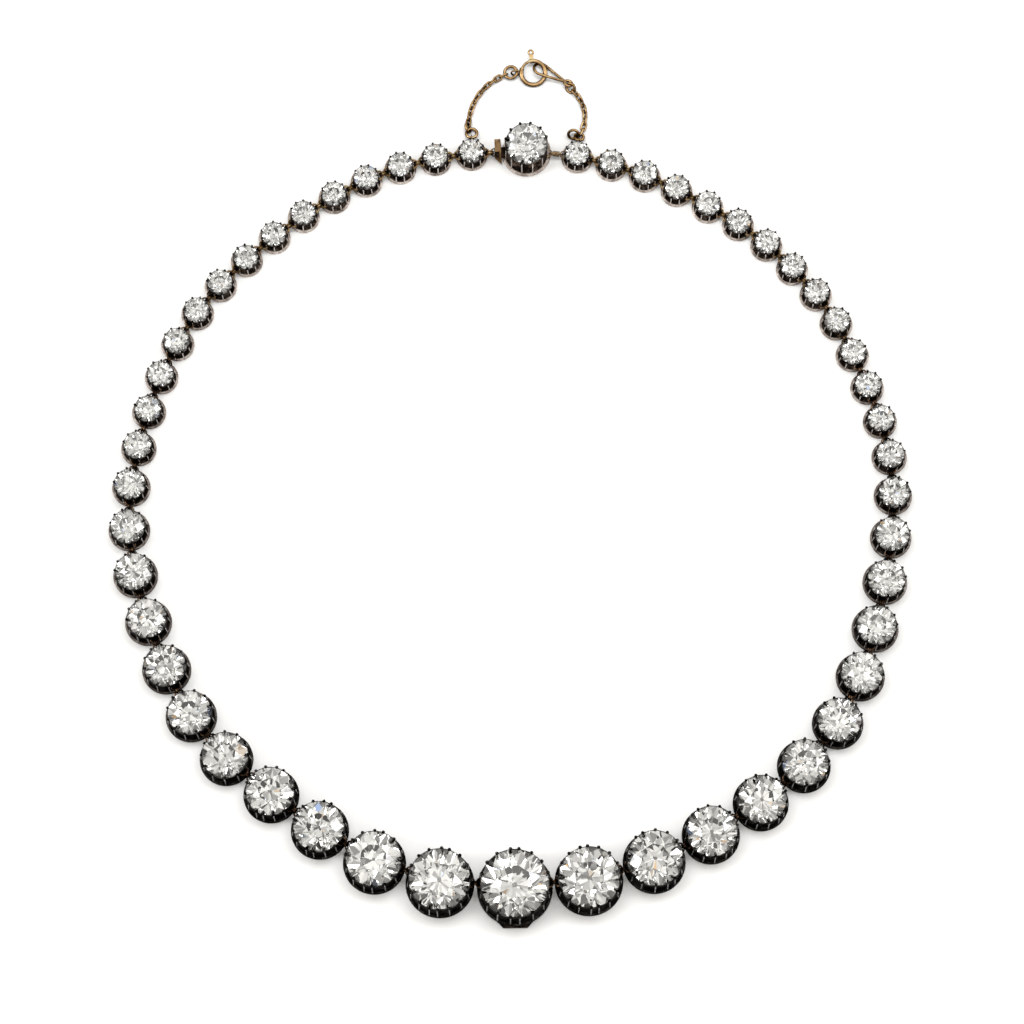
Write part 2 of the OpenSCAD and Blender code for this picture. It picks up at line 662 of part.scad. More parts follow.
// A run of links between two larger rings. Each ring's inner half length is given, with the
// height of its wire; the links roll by turns, and lean further over beside the rings.
module chain_run(from, to, bow, inner, heights, rolls) {
    steps = 40;
    even_roll = 45;
    fade = 3;
    line = [for (i = [0 : steps]) bowed(from, to, bow, i / steps)];
    lengths = running_length(line);
    total = lengths[steps];
    free = total - inner[0] - inner[1];
    links = round(free / chain_pitch);
    inner_half = (free + (links + 1) * chain_slack) / (2 * links);
    first = inner[0] + inner_half - chain_slack;
    spacing = 2 * inner_half - chain_slack;
    turn_first = rolls[0] > 0 ? 0 : 1;
    color(gold) for (i = [0 : links - 1]) {
        s = first + i * spacing;
        p = along(line, lengths, s);
        ahead = along(line, lengths, s + spacing / 4) - along(line, lengths, s - spacing / 4);
        hand = (i + turn_first) % 2 == 0 ? 1 : -1;
        near_first = max(0, 1 - i / fade) * (abs(rolls[0]) - even_roll) * ((i % 2 == 0) ? hand : -hand);
        last_gap = links - 1 - i;
        near_last = max(0, 1 - last_gap / fade) * (rolls[1] - even_roll)
            * ((last_gap % 2 == 0) ? hand : -hand);
        z = lookup(i / (links - 1), [[0, heights[0]], [0.3, chain_z], [0.7, chain_z], [1, heights[1]]]);
        translate([p.x, p.y, z])
            rotate([0, 0, atan2(ahead.y, ahead.x)]) rotate([even_roll * hand + near_first + near_last, 0, 0])
                oval_loop(2 * inner_half + chain_wire, chain_inner_w + chain_wire, chain_wire);
    }
}

module chain_left() {
    chain_run(end_ring_at, round_ring_at, bow_left, [0.5, round_ring_d / 2 - ring_wire / 2],
        [0.6, 0.6], [-25, 80]);
}

module chain_right() {
    chain_run(link_ring_at, jump_right_at, bow_right, [0.666, 0.515], [0.7, 0.59], [-45, 80]);
}

stone(center);  // stone_center
stone(clasp);  // stone_clasp
for (k = [last_left : center - own_nodes - 1]) stone(k);  // stones_left
for (k = [center + own_nodes + 1 : last_right]) stone(k);  // stones_right
for (i = [1 : own_nodes]) {
    stone(center - i);
    stone(center + i);
    collet(center - i);
    collet(center + i);
}
collet(center);  // collet_center
center_plate();
collet(clasp);  // clasp_box_collet
clasp_tongue();
for (k = [last_left : center - own_nodes - 1]) collet(k);  // collets_left
for (k = [center + own_nodes + 1 : last_right]) collet(k);  // collets_right
for (j = [clasp : center - 1]) link(j);  // links_left
for (j = [center : last_right]) link(j);  // links_right
chain_left();
chain_right();
posed_ring(jump_left_at, hung_z(jump_left_dip, jump_left_d),  // jump_ring_left
        lug_angle_left, jump_left_dip, 0, jump_left_d, ring_wire);
posed_ring(end_ring_at, end_ring_z,  // end_ring_left
        end_ring_heading, 0, end_ring_roll, end_ring_d, end_ring_wire);
posed_ring(jump_right_at, hung_z(jump_right_dip, jump_right_d),  // jump_ring_right
        lug_angle_right, jump_right_dip, 0, jump_right_d, ring_wire);
posed_ring(spare_ring_at, spare_ring_z, 0, 0, spare_ring_roll, spare_ring_d, spare_ring_wire);  // spare_ring_right
posed_ring(round_ring_at, round_ring_z, 0, round_ring_dip, 0, round_ring_d, ring_wire);  // round_ring
posed_ring(link_ring_at, link_ring_z,  // link_ring
        link_ring_heading, link_ring_dip, link_ring_roll, link_ring_d, link_ring_wire);
drop_loop();
bolt_ring();
bolt_trigger();
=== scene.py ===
import math
import random

import bmesh
import bpy
from mathutils import Matrix, Vector


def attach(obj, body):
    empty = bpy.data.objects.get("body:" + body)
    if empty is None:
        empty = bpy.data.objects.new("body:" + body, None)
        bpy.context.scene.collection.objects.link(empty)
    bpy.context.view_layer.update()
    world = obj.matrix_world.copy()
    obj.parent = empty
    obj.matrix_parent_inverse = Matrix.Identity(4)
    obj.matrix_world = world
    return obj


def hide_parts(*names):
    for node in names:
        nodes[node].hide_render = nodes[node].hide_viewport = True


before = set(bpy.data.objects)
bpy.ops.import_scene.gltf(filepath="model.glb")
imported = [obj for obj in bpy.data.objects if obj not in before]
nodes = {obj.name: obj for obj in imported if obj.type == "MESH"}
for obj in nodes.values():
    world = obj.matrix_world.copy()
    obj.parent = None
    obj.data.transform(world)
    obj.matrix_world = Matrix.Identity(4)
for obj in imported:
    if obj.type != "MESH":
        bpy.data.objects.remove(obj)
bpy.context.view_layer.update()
scene = bpy.context.scene
MM = 0.001

# Sizes in millimetres, shares, and angles in degrees, as in the part's source
CENTER_STONE_D = 11.4
CLASP_STONE_D = 7.15
TABLE_SHARE = 0.5
CROWN_SHARE = 0.17
PAVILION_SHARE = 0.44
CULET_SHARE = 0.08
GIRDLE_T = 0.1
SIDE_COUNT = 25
RIM_OUT = 0.7
RIM_H = 0.45
RIM_STEP = 0.35
LIP_OUT = 0.18
LIP_RISE = 0.05
WALL_T = 0.4
SEAT_W = 0.3
STONE_PLAY = 0.1
LIFT_BASE = 0.9
LIFT_PER_MM = 0.57
CLASP_LIFT = 1.1
RIB_D = 0.18
CLAW_PAIRS_BASE = 3
CLAW_PAIRS_PER_MM = 0.45
BEAD_BASE_D = 0.26
BEAD_PER_MM = 0.034
BEAD_LEAN = 0.08
GAP_FRONT_LEFT = 0.5
GAP_BACK_LEFT = 0.85
GAP_FRONT_RIGHT = 0.38
GAP_BACK_RIGHT = 0.65
CLASP_GAP_LEFT = 2.55
CLASP_GAP_RIGHT = 1.9
LINK_WIRE = 0.2
EYE_WIRE = 0.2
LINK_PLAY = 0.1
LINK_HEIGHT_FRONT = 0.75
LINK_HEIGHT_BACK = 0.45
PLATE_T = 0.9
PLATE_OUT = 0.2
PLATE_PLAY = 0.05
FLOOR_T = 0.4
TONGUE_W = 1.6
TONGUE_PLAY = 0.1
TONGUE_REACH = 1.3
FOLD_H = 0.9
LEAF_RISE = 0.45
SLOT_TOP = FLOOR_T + FOLD_H + LEAF_RISE + 2 * TONGUE_PLAY
LUG_Z = 1.1
LUG_LEG = 0.4
LUG_WIRE = 0.26
LUG_ROOM = 0.29
RING_WIRE = 0.36
LUG_REACH = LUG_WIRE / 2 + RING_WIRE / 2 + LUG_ROOM
LUG_ANGLE_LEFT = 90
LUG_ANGLE_RIGHT = 84
PAIRED_FROM_D = 8
PAIR_PULL = 4.5
ARCH_H = 15.05
BOLT_TILT = 11.5
THUMB_R = 3.6
THUMB_D = 1.15
THUMB_ANGLE = 97
ROUTE_STEPS = 12
ROUTE = [
    (2.5, 64), (-18, 61.5), (-36, 52.5), (-53, 37),
    (-62.5, 18), (-65.5, -6), (-56, -33.5), (-40.5, -49.5),
    (-14, -64), (22, -61.5), (54.5, -38.5), (65.5, 1),
    (58, 29.5), (45.5, 46), (30.5, 56), (17.5, 61.5)]
GRADING = [
    (0, 1), (0.04, 0.9), (0.08, 0.815), (0.12, 0.745), (0.36, 0.55),
    (0.48, 0.41), (0.52, 0.39), (0.72, 0.365), (1, 0.36)]
COUNT = 2 * SIDE_COUNT + 2
CLASP = 0
LAST_LEFT = 1
CENTER = SIDE_COUNT + 1
LAST_RIGHT = COUNT - 1
OWN_NODES = 9

# Finer forms that only the scene shows, in millimetres
EYE_HALF_W = 0.74
EYE_ROOT = 0.25
EYE_LEG = 0.02
SHOWN_EYE_WIRE = 0.34
SHOWN_LINK_WIRE = 0.3
TWIN_SPACING = 0.34
BOUND_TURN_WIRE = 0.22
BOUND_TURN_SPACING = 0.24
CHAIN_SWELL = 0.03
RING_SWELL = 0.08
LOOP_SWELL = 0.04
LEAST_HEIGHT = 0.01
PANEL_HOLLOW = (0.02, 0.07)
PANEL_BLEND_H = 0.3
SCALLOP = 0.16
RIM_ROUND = 0.13
RIM_CORNER = 0.04
RIM_TOP_ROUND = 0.16
RIM_TOP_CORNER = 0.05
RIM_UNDER_WALL = 0.08
FLOOR_UNDER_WALL = 0.05
FINE_GAP = 0.01
BEAD_SINK = 0.02
# The wall's lowest points, up from the rim
WALL_FOOT = (-0.05, 0.02, 0.1)
# A rib's lowest points, out from the wall and up from the rim
RIB_FOOT = [(0.06, -0.06), (0.02, 0.14)]
# The points where a rib becomes a claw, out and up from the lip
CLAW_NECK = [(0.01, -0.12), (0, 0.05)]

# Shares, counts, and angles in degrees of the same forms
WALL_SHARES = (0.15, 0.3, 0.45, 0.6, 0.75, 0.88, 1)
PANEL_STEPS = 6
PANEL_FLATNESS = 0.75
SCALLOP_FROM = 0.5
RIB_SHARES = (0.3, 0.55, 0.78)
RIB_LEAST = 0.75
CLAW_SWELL = (1.5, 1.1, 1, 1, 1.05, 1.25, 1.3, 1.1)
BEAD_PLAY_SHARE = 0.6
RIM_STEPS = 72
CLASP_FLOOR_STEPS = 48
BOUND_TURNS = 5
MAIN_FACETS = 8
STAR_DEPTH = 0.5
LOWER_LENGTH = 0.7
STONE_SIDES = 48

# How much handwork varies: shares of a size, and angles in degrees
RIB_SPREAD = (0.9, 1.12)
BEAD_SPREAD = (0.96, 1.08)
CLAW_TURN = 1.2
FACET_TURN = 1.5
FACET_TILT = 0.9
FACET_SHIFT = (-0.012, 0.004)

# Distance below which points of the chain's wire count as one, in metres
MERGE_DISTANCE = 1e-6
# Distance below which a point lies on the plane of a stone's cut, in millimetres
CUT_TOLERANCE = 1e-5


def lookup(x, table):
    """Straight line interpolation in a table of pairs, held at its ends."""
    if x <= table[0][0]:
        return table[0][1]
    for (a, value_a), (b, value_b) in zip(table, table[1:]):
        if x <= b:
            return value_a + (value_b - value_a) * (x - a) / (b - a)
    return table[-1][1]


# The line of collets: k counts them anticlockwise from the clasp, joint j follows collet j
def place(k):
    return abs(k - CENTER) / SIDE_COUNT


def joint_place(j):
    return abs(j + 0.5 - CENTER) / SIDE_COUNT


def stone_d(k):
    return CLASP_STONE_D if k == CLASP else CENTER_STONE_D * lookup(place(k), GRADING)


def rim_r(k):
    return stone_d(k) / 2 + RIM_OUT


def foot_r(k):
    return rim_r(k) - RIM_STEP


def lip_r(k):
    return stone_d(k) / 2 + LIP_OUT


def base_z(k):
    return PLATE_T + PLATE_PLAY if k == CENTER else 0.0


def lift(k):
    return LIFT_BASE + LIFT_PER_MM * stone_d(k) + (CLASP_LIFT if k == CLASP else 0)


def lip_z(k):
    """Height of the top of the wall above the collet's own base."""
    return lift(k) + GIRDLE_T / 2 + LIP_RISE


def wall_r(k, z):
    """Radius of the wall at a height above the collet's own base."""
    return lookup(z, [(RIM_H, foot_r(k)), (lip_z(k), lip_r(k))])


def shown_wall_r(k, z):
    """The clasp's wall stands upright behind a wider flange."""
    return lip_r(k) if k == CLASP else wall_r(k, z)


def claw_count(k):
    return 2 * round(CLAW_PAIRS_BASE + CLAW_PAIRS_PER_MM * stone_d(k))


def bead_d(k):
    return BEAD_BASE_D + BEAD_PER_MM * stone_d(k)


def following(k):
    return (k + 1) % COUNT


def gap(j):
    if j == CLASP:
        return CLASP_GAP_LEFT
    if j == LAST_RIGHT:
        return CLASP_GAP_RIGHT
    front, back = (GAP_FRONT_LEFT, GAP_BACK_LEFT) if j < CENTER else (GAP_FRONT_RIGHT, GAP_BACK_RIGHT)
    return front + (back - front) * joint_place(j)


def pitch(j):
    return rim_r(j) + gap(j) + rim_r(following(j))


def route_point(i):
    """Point i of the closed smooth line through ROUTE."""
    n = len(ROUTE)
    m, step = divmod(i, ROUTE_STEPS)
    t = step / ROUTE_STEPS
    a, b, c, d = (ROUTE[(m + q) % n] for q in (-1, 0, 1, 2))
    return tuple(
        (2 * b[x] + (c[x] - a[x]) * t + (2 * a[x] - 5 * b[x] + 4 * c[x] - d[x]) * t ** 2
         + (3 * b[x] - a[x] - 3 * c[x] + d[x]) * t ** 3) / 2
        for x in (0, 1))


def collet_places():
    """Centres of all collets, with the whole necklace centred on the origin."""
    line = [route_point(i) for i in range(len(ROUTE) * ROUTE_STEPS + 1)]
    lengths = [0.0]
    for p, q in zip(line, line[1:]):
        lengths.append(lengths[-1] + math.dist(p, q))
    run_at = [0.0]
    for k in range(COUNT):
        run_at.append(run_at[-1] + pitch(k))
    grow = run_at[-1] / lengths[-1]
    raw = [tuple(grow * lookup(s / grow, [(u, p[x]) for u, p in zip(lengths, line)]) for x in (0, 1))
           for s in run_at[:-1]]
    bolt_y = (raw[LAST_LEFT][1] + raw[LAST_RIGHT][1]) / 2 + ARCH_H
    thumb_out = THUMB_R * math.sin(math.radians(THUMB_ANGLE)) + THUMB_D / 2
    top = bolt_y + thumb_out * math.cos(math.radians(BOLT_TILT))
    left = min(raw[k][0] - rim_r(k) for k in range(COUNT))
    right = max(raw[k][0] + rim_r(k) for k in range(COUNT))
    bottom = min(raw[k][1] - rim_r(k) - (PLATE_OUT if k == CENTER else 0) for k in range(COUNT))
    middle = ((left + right) / 2, (bottom + top) / 2)
    return [(x - middle[0], y - middle[1]) for x, y in raw], middle


collet_at, row_middle = collet_places()


def direction(j):
    """Angle from collet j to the next one."""
    a, b = collet_at[j], collet_at[following(j)]
    return math.degrees(math.atan2(b[1] - a[1], b[0] - a[0]))


def heading(k):
    a, b = direction(k), direction((k - 1) % COUNT)
    return a if k == CLASP else b + ((a - b + 540) % 360 - 180) / 2


def joint_z(j):
    share = LINK_HEIGHT_FRONT + (LINK_HEIGHT_BACK - LINK_HEIGHT_FRONT) * joint_place(j)
    return share * min(lift(j), lift(following(j)))


def wall_at_joint(k, j):
    return wall_r(k, joint_z(j) - base_z(k))


def joint_start(j):
    return rim_r(CLASP) + TONGUE_REACH if j == CLASP else wall_at_joint(j, j)


def joint_gap(j):
    return pitch(j) - joint_start(j) - wall_at_joint(following(j), j)


def claw_angle(k, i):
    even = (i + 0.5) * 360 / claw_count(k)
    if stone_d(k) > PAIRED_FROM_D:
        even += math.copysign(PAIR_PULL, math.sin(math.radians(2 * even)))
    return even


def turned(degrees, axis="Z"):
    return Matrix.Rotation(math.radians(degrees), 4, axis)


def moved(x, y, z):
    return Matrix.Translation((x, y, z))


class Shape:
    """Collects the faces of one piece in millimetres, each with the number of its look."""

    def __init__(self):
        self.points = []
        self.faces = []
        self.looks = []

    def add(self, points, faces, look, matrix):
        first = len(self.points)
        self.points += [matrix @ Vector(p) for p in points]
        self.faces += [[first + i for i in face] for face in faces]
        self.looks += [look] * len(faces)

    def skin(self, rows, look, matrix, closed=False, round_rows=True):
        """A skin over rows of equally many points."""
        n = len(rows[0])
        m = len(rows)
        faces = []
        for j in range(m if closed else m - 1):
            for i in range(n if round_rows else n - 1):
                right = (i + 1) % n
                above = (j + 1) % m
                faces.append((j * n + i, j * n + right, above * n + right, above * n + i))
        self.add([p for row in rows for p in row], faces, look, matrix)

    def lathe(self, profile, look, matrix, angles):
        """Turns a profile of radius and height pairs through the given angles."""
        rows = [[(r * math.cos(a), r * math.sin(a), z) for a in angles] for r, z in profile]
        self.skin(rows, look, matrix)

    def bar(self, path, radii, look, matrix, sides=8):
        """A round bar along an open path, closed at both ends."""
        path = [Vector(p) for p in path]
        last = len(path) - 1
        side = None
        rows = []
        for i, p in enumerate(path):
            along = (path[min(i + 1, last)] - path[max(i - 1, 0)]).normalized()
            side = along.orthogonal() if side is None else side - along * side.dot(along)
            side.normalize()
            up = along.cross(side)
            rows.append([p + radii[i] * (math.cos(a) * side + math.sin(a) * up) for a in ring_angles(sides)])
        self.skin(rows, look, matrix)
        self.add(rows[0], [list(range(sides))[::-1]], look, matrix)
        self.add(rows[-1], [list(range(sides))], look, matrix)

    def hoop(self, middle_r, wire, look, matrix, steps=28, sides=10):
        """A closed ring of round wire round Z."""
        rows = []
        for a in ring_angles(steps):
            rows.append([((middle_r + wire / 2 * math.cos(b)) * math.cos(a),
                          (middle_r + wire / 2 * math.cos(b)) * math.sin(a),
                          wire / 2 * math.sin(b)) for b in ring_angles(sides)])
        self.skin(rows, look, matrix, closed=True)

    def ball(self, center, radius, look, matrix, steps=10, layers=7):
        rows = []
        for j in range(1, layers):
            a = math.pi * (1 - j / layers)
            rows.append([(center[0] + radius * math.sin(a) * math.cos(b),
                          center[1] + radius * math.sin(a) * math.sin(b),
                          center[2] + radius * math.cos(a)) for b in ring_angles(steps)])
        self.skin(rows, look, matrix)
        low = (center[0], center[1], center[2] - radius)
        high = (center[0], center[1], center[2] + radius)
        fan = [(0, 1 + i, 1 + (i + 1) % steps) for i in range(steps)]
        self.add([low] + rows[0], [face[::-1] for face in fan], look, matrix)
        self.add([high] + rows[-1], fan, look, matrix)

    def piece(self, name, materials, sharp_from=38):
        mesh = bpy.data.meshes.new(name)
        mesh.from_pydata([tuple(p * MM) for p in self.points], [], self.faces)
        for each in materials:
            mesh.materials.append(each)
        mesh.polygons.foreach_set("material_index", self.looks)
        mesh.polygons.foreach_set("use_smooth", [True] * len(mesh.polygons))
        mesh.set_sharp_from_angle(angle=math.radians(sharp_from))
        obj = bpy.data.objects.new(name, mesh)
        scene.collection.objects.link(obj)
        return obj


def ring_angles(steps):
    return [2 * math.pi * i / steps for i in range(steps)]


# Materials
# Noise values at which the tones of the patches and of the fine grain stand
PATCH_STOPS = (0.34, 0.5, 0.68)
FINE_STOPS = (0.32, 0.68)
# Painted highlight and shade: how bright metal is painted by how far it faces up, dark on its sides
PAINTED_LIGHT_TONES = [
    (0.3, (0.10, 0.08, 0.065)), (0.7, (0.42, 0.38, 0.34)), (0.9, (0.95, 0.95, 0.95)),
    (0.98, (1.6, 1.65, 1.75))]
# Places along Y, in millimetres, between which the front's tones turn into the back's
CHANGE_Y = (-50, 45)
LINK_CHANGE_Y = (20, 58)
# The tongue is painted with the box's shadow between these places along Y and between these heights, in
# millimetres
TONGUE_SHADOW_Y = (57.4, 57.8)
TONGUE_SHADOW_Z = (2.8, 2.2)
# The grain of the walls, drawn out along Z
UPRIGHT_STREAKS = (1, 1, 0.35)
# Tones of one metal, from its dark patches to its bright ones
CLASP_WALL_TONES = ((0.02, 0.016, 0.013), (0.085, 0.066, 0.055), (0.26, 0.21, 0.18))
INNER_TONES = ((0.16, 0.157, 0.15), (0.3, 0.295, 0.285), (0.5, 0.49, 0.48))
GOLD_TONES = ((0.23, 0.13, 0.05), (0.50, 0.31, 0.14), (0.78, 0.54, 0.29))
TONGUE_TONES = ((0.12, 0.07, 0.035), (0.30, 0.185, 0.09), (0.46, 0.30, 0.16))
# The tongue's gold under the painted shadow of the box
TONGUE_SHADOW_TONES = ((0.006, 0.004, 0.003), (0.022, 0.015, 0.011), (0.10, 0.07, 0.05))
PLATE_TONES = ((0.004, 0.003, 0.003), (0.014, 0.011, 0.009), (0.08, 0.058, 0.044))


def new_material(name, base, metallic, roughness):
    """A material with its node tree and its shader."""
    mat = bpy.data.materials.new(name)
    mat.use_nodes = True
    shader = mat.node_tree.nodes["Principled BSDF"]
    shader.inputs["Base Color"].default_value = (*base, 1)
    shader.inputs["Metallic"].default_value = metallic
    shader.inputs["Roughness"].default_value = roughness
    return mat, mat.node_tree, shader


def object_point(tree, stretch=(1, 1, 1)):
    """The place on the piece, from which its grain is drawn."""
    where = tree.nodes.new("ShaderNodeTexCoord")
    mapping = tree.nodes.new("ShaderNodeMapping")
    mapping.inputs["Scale"].default_value = stretch
    tree.links.new(where.outputs["Object"], mapping.inputs["Vector"])
    return mapping.outputs["Vector"]


def noise(tree, vector, scale, detail=4, roughness=0.55):
    node = tree.nodes.new("ShaderNodeTexNoise")
    node.inputs["Scale"].default_value = scale
    node.inputs["Detail"].default_value = detail
    node.inputs["Roughness"].default_value = roughness
    tree.links.new(vector, node.inputs["Vector"])
    return node.outputs["Fac"]


def ramp(tree, value, stops):
    """Colours that follow a value, from pairs of position and colour."""
    node = tree.nodes.new("ShaderNodeValToRGB")
    while len(node.color_ramp.elements) < len(stops):
        node.color_ramp.elements.new(0.5)
    for element, (position, color) in zip(node.color_ramp.elements, stops):
        element.position = position
        element.color = (*color, 1)
    tree.links.new(value, node.inputs["Fac"])
    return node.outputs["Color"]


def mixed(tree, share, first, second):
    """From the first colour to the second as the share goes from 0 to 1."""
    node = tree.nodes.new("ShaderNodeMix")
    node.data_type = "RGBA"
    tree.links.new(share, node.inputs["Factor"])
    tree.links.new(first, node.inputs["A"])
    tree.links.new(second, node.inputs["B"])
    return node.outputs["Result"]


def multiplied(tree, first, second):
    node = tree.nodes.new("ShaderNodeMix")
    node.data_type = "RGBA"
    node.blend_type = "MULTIPLY"
    node.inputs["Factor"].default_value = 1
    tree.links.new(first, node.inputs["A"])
    tree.links.new(second, node.inputs["B"])
    return node.outputs["Result"]


def axis_of(tree, vector, axis):
    """One coordinate of a vector."""
    split = tree.nodes.new("ShaderNodeSeparateXYZ")
    tree.links.new(vector, split.inputs["Vector"])
    return split.outputs[axis]


def painted_light_above(tree, tones):
    """Painted highlight where the metal faces up and painted shade on the sides that face away."""
    where = tree.nodes.new("ShaderNodeTexCoord")
    painted_light_ramp = ramp(tree, axis_of(tree, where.outputs["Normal"], "Z"), PAINTED_LIGHT_TONES)
    return multiplied(tree, tones, painted_light_ramp)


def span(tree, value, start, end):
    """0 up to the start, 1 from the end on."""
    node = tree.nodes.new("ShaderNodeMapRange")
    node.inputs["From Min"].default_value = start
    node.inputs["From Max"].default_value = end
    tree.links.new(value, node.inputs["Value"])
    return node.outputs["Result"]


def north(tree, front, back):
    """0 up to the front place along Y, 1 from the back one on, towards the clasp."""
    where = tree.nodes.new("ShaderNodeTexCoord")
    return span(tree, axis_of(tree, where.outputs["Object"], "Y"), front * MM, back * MM)


def patchy(tree, point, grain, *sides):
    """The same worn patches in the three tones of each side."""
    patches = noise(tree, point, grain, 5, 0.6)
    return [ramp(tree, patches, list(zip(PATCH_STOPS, side))) for side in sides]


def roughen(tree, shader, fine, rough):
    """Roughness that follows the fine grain between two limits."""
    stops = [(position, (value,) * 3) for position, value in zip(FINE_STOPS, rough)]
    tree.links.new(ramp(tree, fine, stops), shader.inputs["Roughness"])


def metal(name, front, back, edge, rough, grain, relief, stretch=(1, 1, 1), painted_light=False,
          change=CHANGE_Y):
    """Worn metal: three tones at the front of the necklace and three at its back, and on request painted
    highlight on top and painted shade on the sides.
    """
    mat, tree, shader = new_material(name, back[1], 1.0, sum(rough) / 2)
    shader.inputs["Specular Tint"].default_value = (edge, edge, edge, 1)
    point = object_point(tree, stretch)
    base = mixed(tree, north(tree, *change), *patchy(tree, point, grain, front, back))
    # Where asked, the tones get painted highlight where they face up and painted shade on the sides
    tree.links.new(painted_light_above(tree, base) if painted_light else base, shader.inputs["Base Color"])
    fine = noise(tree, point, 4 * grain, 3)
    roughen(tree, shader, fine, rough)
    bump = tree.nodes.new("ShaderNodeBump")
    bump.inputs["Strength"].default_value = 0.6
    bump.inputs["Distance"].default_value = relief * MM
    tree.links.new(fine, bump.inputs["Height"])
    tree.links.new(bump.outputs["Normal"], shader.inputs["Normal"])
    return mat


# Numbers of the looks of a piece; the silver ones come first, and each has its tones at the
# front of the necklace and at its back
WALL, RIB, RIM, BEAD, LIP, SEAT, LINK, GOLD = range(8)
silver_looks = [
    metal("aged_silver_wall",
          ((0.004, 0.004, 0.004), (0.015, 0.014, 0.013), (0.075, 0.070, 0.066)),
          ((0.014, 0.011, 0.009), (0.050, 0.039, 0.033), (0.17, 0.14, 0.12)),
          edge=0.12, rough=(0.28, 0.5), grain=900, relief=0.03, stretch=UPRIGHT_STREAKS),
    metal("worn_silver_rib",
          ((0.05, 0.05, 0.048), (0.2, 0.195, 0.19), (0.5, 0.49, 0.48)),
          ((0.24, 0.21, 0.19), (0.52, 0.47, 0.44), (0.8, 0.74, 0.70)),
          edge=0.8, rough=(0.16, 0.34), grain=1100, relief=0.015),
    metal("silver_rim",
          ((0.003, 0.003, 0.003), (0.009, 0.008, 0.007), (0.05, 0.045, 0.042)),
          ((0.2, 0.165, 0.15), (0.5, 0.425, 0.385), (0.85, 0.77, 0.72)),
          edge=0.25, rough=(0.16, 0.38), grain=800, relief=0.02),
    metal("dark_claw",
          ((0.004, 0.004, 0.004), (0.014, 0.013, 0.012), (0.09, 0.088, 0.085)),
          ((0.008, 0.007, 0.006), (0.035, 0.031, 0.028), (0.22, 0.20, 0.185)),
          edge=0.3, rough=(0.16, 0.34), grain=1300, relief=0.02),
    metal("worn_lip",
          ((0.02, 0.019, 0.018), (0.09, 0.086, 0.082), (0.3, 0.29, 0.28)),
          ((0.04, 0.035, 0.032), (0.16, 0.14, 0.13), (0.45, 0.41, 0.38)),
          edge=0.5, rough=(0.2, 0.4), grain=1100, relief=0.02),
    metal("inner_silver", INNER_TONES, INNER_TONES, edge=0.8, rough=(0.25, 0.5), grain=900, relief=0.02),
    # The links carry painted highlight on their tops and painted shade on their sides
    metal("dark_link",
          ((0.008, 0.005, 0.004), (0.05, 0.030, 0.020), (0.36, 0.22, 0.13)),
          ((0.10, 0.06, 0.025), (0.42, 0.27, 0.12), (0.80, 0.58, 0.32)),
          edge=0.4, rough=(0.2, 0.42), grain=900, relief=0.02, painted_light=True, change=LINK_CHANGE_Y),
]
clasp_wall = metal("brown_silver_wall", CLASP_WALL_TONES, CLASP_WALL_TONES,
                   edge=0.2, rough=(0.28, 0.5), grain=900, relief=0.03, stretch=UPRIGHT_STREAKS)
# The gold carries painted highlight on its tops and painted shade on its sides
gold_look = metal("rose_gold", GOLD_TONES, GOLD_TONES,
                  edge=0.3, rough=(0.15, 0.3), grain=450, relief=0.01, painted_light=True)
plate_look = metal("plate_silver", PLATE_TONES, PLATE_TONES,
                   edge=0.15, rough=(0.25, 0.45), grain=900, relief=0.02)


def tongue_metal():
    """Gold, with a painted shadow of the box where its end plate stands behind the lower edge."""
    mat, tree, shader = new_material("tongue_gold", TONGUE_TONES[1], 1.0, 0.38)
    shader.inputs["Specular Tint"].default_value = (0.3, 0.3, 0.3, 1)
    point = object_point(tree)
    gold, dark = patchy(tree, point, 700, TONGUE_TONES, TONGUE_SHADOW_TONES)
    # Mask of the painted shadow: behind the lower edge and low down
    behind = span(tree, axis_of(tree, point, "Y"), *(y * MM for y in TONGUE_SHADOW_Y))
    low = span(tree, axis_of(tree, point, "Z"), *(z * MM for z in TONGUE_SHADOW_Z))
    in_shadow = tree.nodes.new("ShaderNodeMath")
    in_shadow.operation = "MULTIPLY"
    tree.links.new(behind, in_shadow.inputs[0])
    tree.links.new(low, in_shadow.inputs[1])
    tree.links.new(mixed(tree, in_shadow.outputs["Value"], gold, dark), shader.inputs["Base Color"])
    roughen(tree, shader, noise(tree, point, 2800, 3), (0.3, 0.45))
    return mat


tongue_look = tongue_metal()


def diamond():
    """Clear stone with a few faintly rubbed places."""
    mat, tree, shader = new_material("old_cut_diamond", (0.99, 0.988, 0.98), 0.0, 0.0)
    shader.inputs["Transmission Weight"].default_value = 1.0
    shader.inputs["IOR"].default_value = 2.42
    rubbed = noise(tree, object_point(tree), 1500, 3)
    tree.links.new(ramp(tree, rubbed, [(0.6, (0.0,) * 3), (0.85, (0.02,) * 3)]), shader.inputs["Roughness"])
    return mat


stone_look = diamond()


